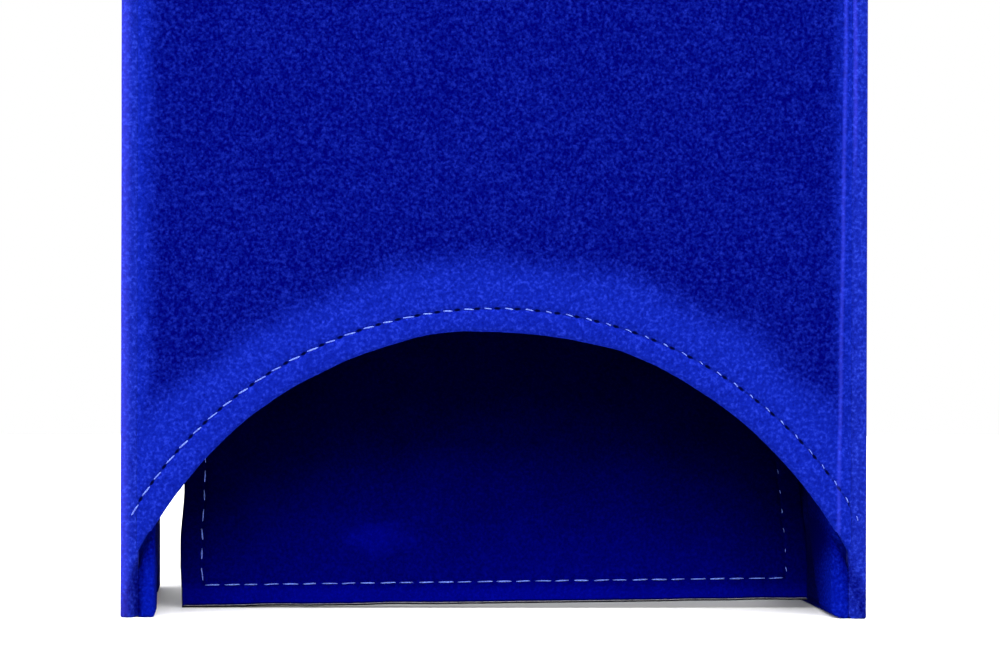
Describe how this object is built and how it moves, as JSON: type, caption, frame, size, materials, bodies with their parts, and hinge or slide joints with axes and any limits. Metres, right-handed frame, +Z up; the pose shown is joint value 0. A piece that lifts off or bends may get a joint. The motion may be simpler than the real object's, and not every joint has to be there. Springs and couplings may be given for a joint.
{
  "type": "coin display tray in slipcase",
  "caption": "Velour-covered slipcase with finger arches front and back, standing on its open end, holding a loose velour coin tray with square wells.",
  "frame": {"origin": "centre of the bounding box's bottom face: the middle of the open end, at the level of the feet", "axes": "+X to the right as seen from the front arch, +Y from the front to the back, +Z up towards the closed end"},
  "size_m": [0.216, 0.0838, 0.25],
  "materials": {
    "outer_velour": "short velour pile glued over board",
    "lining_velour": "short velour pile glued over board",
    "tray_velour": "short velour pile glued over board, raw cut edge on the back sheet",
    "thread": "twisted sewing thread"
  },
  "bodies": {
    "tray": {"tray_back_sheet": "tray_velour", "well_floor_pad": "tray_velour", "rim_bottom_rail": "tray_velour", "rim_right_rail": "tray_velour", "rim_top_rail": "tray_velour", "rim_left_rail": "tray_velour", "cross_divider_1": "tray_velour", "cross_divider_2": "tray_velour", "cross_divider_3": "tray_velour", "cross_divider_4": "tray_velour", "long_divider_1": "tray_velour", "long_divider_2": "tray_velour", "long_divider_3": "tray_velour", "tray_edge_seam": "thread"},
    "case": {"outer_front": "outer_velour", "outer_back": "outer_velour", "outer_left_wall": "outer_velour", "outer_right_wall": "outer_velour", "outer_closed_end": "outer_velour", "lining_front": "lining_velour", "lining_back": "lining_velour", "lining_left_wall": "lining_velour", "lining_right_wall": "lining_velour", "lining_closed_end": "lining_velour", "front_arch_seam": "thread", "back_arch_seam": "thread"}
  },
  "joints": [
    {"name": "case_lift", "type": "slide", "parent": "tray", "child": "case", "axis": [-0.014, 0.1822, 0.9832], "range_m": [-0.004, 0.25]}
  ]
}
